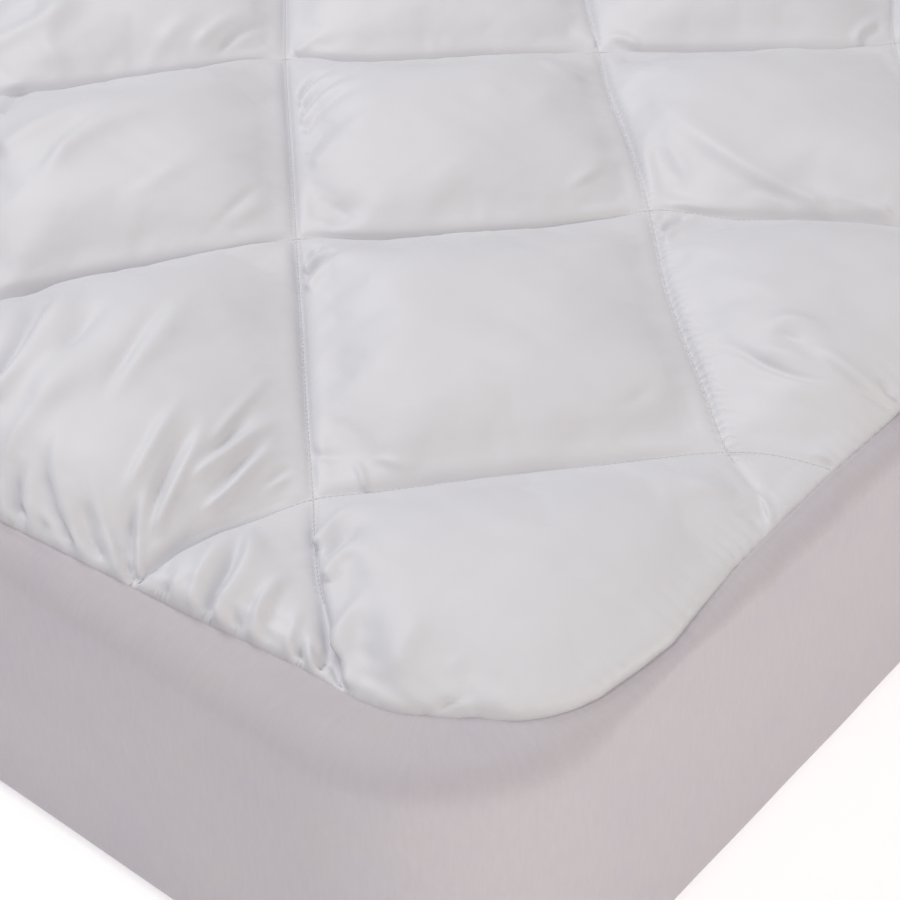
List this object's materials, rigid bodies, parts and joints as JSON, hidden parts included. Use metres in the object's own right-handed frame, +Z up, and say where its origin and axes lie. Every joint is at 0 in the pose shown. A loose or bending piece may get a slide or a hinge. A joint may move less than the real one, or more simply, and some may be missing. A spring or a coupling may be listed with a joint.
{
  "type": "quilted fitted mattress protector on mattress",
  "caption": "Diamond-quilted filled panel sewn to a one-piece stretch-knit skirt, fitted over a plain single mattress and tucked under it.",
  "frame": {"origin": "middle of the underside, on the surface that the mattress lies on", "axes": "+Z up; +Y along the long sides, from the foot end to the head end; +X across the width"},
  "size_m": [0.903, 1.903, 0.2323],
  "materials": {
    "ticking": "plain matt woven cover",
    "stretch_knit": "matt fine stretch knit",
    "microfibre": "smooth brushed microfibre with a soft sheen"
  },
  "bodies": {
    "root": {"mattress": "ticking", "skirt": "stretch_knit", "quilted_panel": "microfibre"}
  },
  "joints": []
}
